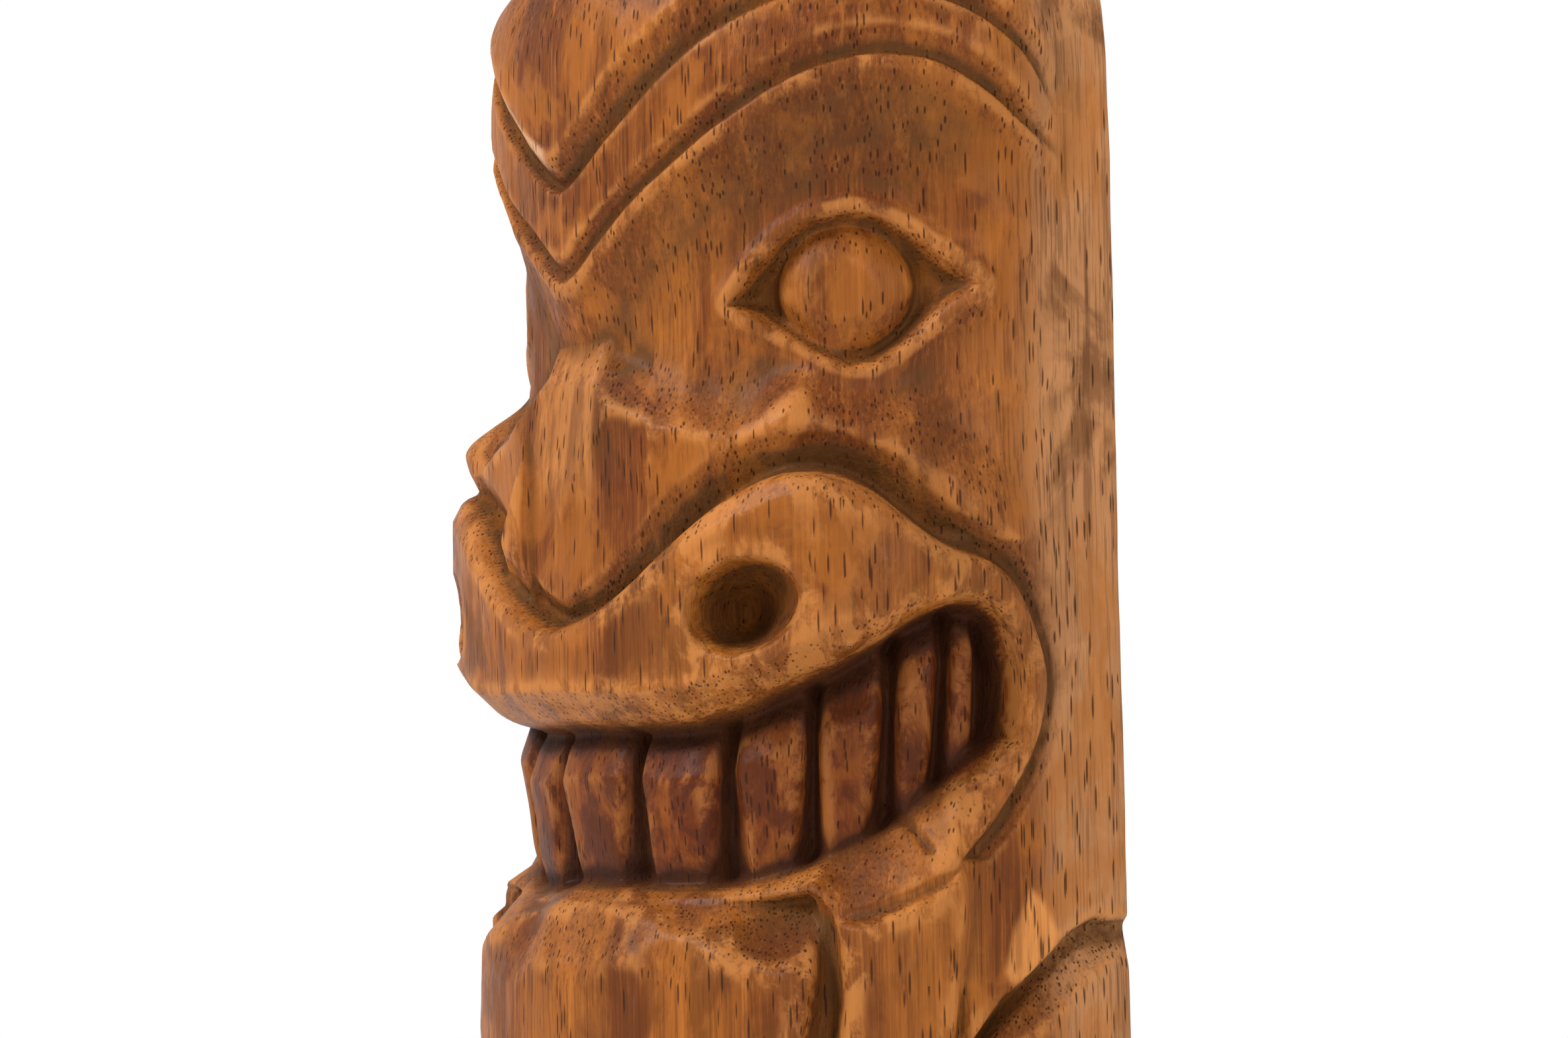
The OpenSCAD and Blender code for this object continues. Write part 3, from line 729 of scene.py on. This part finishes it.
    rough = m.ramp(worn, 0.3, 0.7, 0.32, 0.58)
    rough = m.math("ADD", rough, m.math("MULTIPLY", cavity_in, 0.3))
    rough = m.math("ADD", rough, m.math("MULTIPLY", pore, 0.2), True)
    m.put(m.shader.inputs["Roughness"], rough)
    m.shader.inputs["Coat Weight"].default_value = 0.03
    m.shader.inputs["Coat Roughness"].default_value = 0.25
    m.shader.inputs["Specular IOR Level"].default_value = 0.08

    # Slow waves, fibres, rasp marks that are strongest in the hollows, and sunk pores.
    rasp = m.noise((900, 900, 700), 4, 0.6)
    rasped = m.math("MULTIPLY", rasp, m.ramp(cavity_in, 0.1, 0.7, 0.25, 1))
    normal = m.bump(m.noise((330, 330, 200), 3, 0.55), 0.4, 0.0005)
    normal = m.bump(fibres, 0.5, 0.00022, normal)
    normal = m.bump(rasped, 0.6, 0.0005, normal)
    normal = m.bump(m.math("SUBTRACT", 1.0, pore), 0.7, 0.00025, normal)
    m.put(m.shader.inputs["Normal"], normal)
    return m.material


def plinth_wood():
    """A plain hardwood under a smoother varnish. Its grain runs along X."""
    m = Nodes("plinth_hardwood")
    bands = m.noise((9, 120, 120), 3, 0.5, 0.5)
    streaks = m.noise((45, 900, 900), 4, 0.6)
    pore = pores(m, (150, 1200, 1200), 0.45, 0.30)
    colour = m.blend(srgb(96, 50, 24), srgb(134, 76, 38), m.ramp(bands, 0.35, 0.65))
    colour = m.blend(colour, srgb(72, 36, 18), m.ramp(streaks, 0.5, 0.72, 0, 0.6))
    colour = m.blend(colour, srgb(42, 20, 10), m.math("MULTIPLY", pore, 0.75))
    m.put(m.shader.inputs["Base Color"], colour)
    m.put(m.shader.inputs["Roughness"], m.ramp(m.noise((180, 180, 180), 3), 0.3, 0.7, 0.28, 0.42))
    m.shader.inputs["Coat Weight"].default_value = 0.15
    m.shader.inputs["Coat Roughness"].default_value = 0.2
    normal = m.bump(streaks, 0.25, 0.00015)
    normal = m.bump(m.math("SUBTRACT", 1.0, pore), 0.5, 0.00015, normal)
    m.put(m.shader.inputs["Normal"], normal)
    return m.material


def beech():
    """Pale turned dowels with the short flecks of beech."""
    m = Nodes("dowel_beech")
    flecks = m.noise((1400, 1400, 160), 3)
    bands = m.noise((250, 250, 12), 2)
    colour = m.blend(srgb(196, 156, 112), srgb(222, 188, 146), m.ramp(bands, 0.35, 0.65))
    colour = m.blend(colour, srgb(158, 116, 76), m.ramp(flecks, 0.56, 0.70, 0, 0.6))
    m.put(m.shader.inputs["Base Color"], colour)
    m.put(m.shader.inputs["Roughness"], m.ramp(flecks, 0.3, 0.7, 0.5, 0.65))
    m.put(m.shader.inputs["Normal"], m.bump(flecks, 0.3, 0.0001))
    return m.material


def steel():
    """Steel screws with turning marks."""
    m = Nodes("screw_steel")
    turned = m.noise((600, 600, 4000), 2)
    stain = m.noise((400, 400, 400), 3)
    colour = m.blend(srgb(178, 175, 164), srgb(206, 202, 190), m.ramp(stain, 0.35, 0.65))
    m.put(m.shader.inputs["Base Color"], colour)
    m.shader.inputs["Metallic"].default_value = 1.0
    m.put(m.shader.inputs["Roughness"], m.ramp(turned, 0.3, 0.7, 0.25, 0.42))
    m.put(m.shader.inputs["Normal"], m.bump(turned, 0.2, 0.00005))
    return m.material


def felt():
    """Green pressed fibres, matt and a little fuzzy."""
    m = Nodes("felt")
    fibres = m.noise((2600, 2600, 2600), 6, 0.7, 1.5)
    clumps = m.noise((420, 420, 420), 3)
    colour = m.blend(srgb(30, 52, 36), srgb(64, 92, 66), m.ramp(fibres, 0.3, 0.7))
    colour = m.blend(colour, srgb(26, 44, 32), m.ramp(clumps, 0.45, 0.7, 0, 0.6))
    m.put(m.shader.inputs["Base Color"], colour)
    m.put(m.shader.inputs["Roughness"], m.ramp(fibres, 0.2, 0.8, 0.85, 1.0))
    m.shader.inputs["Sheen Weight"].default_value = 0.4
    m.put(m.shader.inputs["Normal"], m.bump(fibres, 0.8, 0.0004))
    return m.material


varnished = carved_wood()
carving.data.materials.append(varnished)
looks = {
    "figure": varnished, "plinth": plinth_wood(), "locating_dowels": beech(), "plinth_screws": steel(),
    "felt_pad": felt(),
}
for node, material in looks.items():
    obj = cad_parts[node]
    if not obj.material_slots:
        obj.data.materials.append(material)
    for slot in obj.material_slots:
        slot.material = material


# ---------------------------------------------------------------- floor, light and camera
def floor():
    """A round pale floor, which ends just short of the main view."""
    mesh = bpy.data.meshes.new("floor")
    radius, sides = 2.1, 96
    turns = [2 * math.pi * i / sides for i in range(sides)]
    rim = [(radius * math.cos(t), radius * math.sin(t), 0) for t in turns]
    mesh.from_pydata(rim, [], [tuple(range(sides))])
    obj = bpy.data.objects.new("floor", mesh)
    bpy.context.collection.objects.link(obj)
    m = Nodes("floor")
    tone = m.noise((6, 6, 6), 2)
    m.put(m.shader.inputs["Base Color"], m.blend((0.88, 0.88, 0.88, 1), (0.90, 0.90, 0.90, 1), tone))
    m.shader.inputs["Emission Color"].default_value = (1, 1, 1, 1)
    m.shader.inputs["Emission Strength"].default_value = 0.22
    m.shader.inputs["Roughness"].default_value = 0.85
    mesh.materials.append(m.material)


def area_light(name, place, aim_z, side, watts):
    """A white square softbox that faces a point on the figure's middle line."""
    target = (0, 0, aim_z)
    data = bpy.data.lights.new(name, "AREA")
    data.shape = "RECTANGLE"
    data.size, data.size_y = side, side
    data.energy = watts
    obj = bpy.data.objects.new(name, data)
    obj.location = place
    obj.rotation_euler = (Vector(target) - Vector(place)).to_track_quat("-Z", "Y").to_euler()
    bpy.context.collection.objects.link(obj)


def sky():
    """A white room whose upper part is half as bright."""
    world = bpy.data.worlds.new("studio")
    world.use_nodes = True
    tree = world.node_tree
    direction = tree.nodes.new("ShaderNodeTexCoord").outputs["Generated"]
    split = tree.nodes.new("ShaderNodeSeparateXYZ")
    tree.links.new(direction, split.inputs["Vector"])
    dim = tree.nodes.new("ShaderNodeMapRange")
    dim.interpolation_type = "SMOOTHSTEP"
    for key, value in (("From Min", 0.20), ("From Max", 0.45), ("To Min", 1.0), ("To Max", 0.5)):
        dim.inputs[key].default_value = value
    tree.links.new(split.outputs["Z"], dim.inputs["Value"])
    tree.links.new(dim.outputs["Result"], tree.nodes["Background"].inputs["Strength"])
    tree.nodes["Background"].inputs["Color"].default_value = (1, 1, 1, 1)
    bpy.context.scene.world = world


def camera():
    """At the photograph's viewing angle: the left front, level with the mouth, tipped up a little."""
    azimuth, distance, height = 52.0, 0.440, 0.186
    centre_y = AXIS_Y * MM + 0.0005
    pitch, roll, turn = 2.6, -1.2, 0.87
    lens, sensor = 105.7, 36.0
    a, p, r, t = (v * DEG for v in (azimuth, pitch, roll, turn))
    place = Vector((math.sin(a) * distance, centre_y - math.cos(a) * distance, height))
    ahead = Vector((-math.sin(a) * math.cos(p), math.cos(a) * math.cos(p), math.sin(p)))
    ahead = Matrix.Rotation(t, 3, "Z") @ ahead
    aside = ahead.cross(Vector((0, 0, 1))).normalized()
    up = aside.cross(ahead)
    aside, up = aside * math.cos(r) + up * math.sin(r), up * math.cos(r) - aside * math.sin(r)
    data = bpy.data.cameras.new("camera")
    data.lens, data.sensor_width = lens, sensor
    data.clip_start, data.clip_end = 0.01, 20
    obj = bpy.data.objects.new("camera", data)
    obj.matrix_world = Matrix((
        (aside.x, up.x, -ahead.x, place.x),
        (aside.y, up.y, -ahead.y, place.y),
        (aside.z, up.z, -ahead.z, place.z),
        (0, 0, 0, 1)))
    bpy.context.collection.objects.link(obj)
    bpy.context.scene.camera = obj


floor()
sky()
area_light("key", (-0.2, -0.75, 0.85), 0.18, 0.4, 12.8)
area_light("fill", (0.95, -0.15, 0.5), 0.18, 0.5, 4.5)
area_light("top", (0.1, 0.2, 1.0), 0.2, 0.5, 3.0)
camera()
bpy.context.scene.view_settings.view_transform = "Standard"
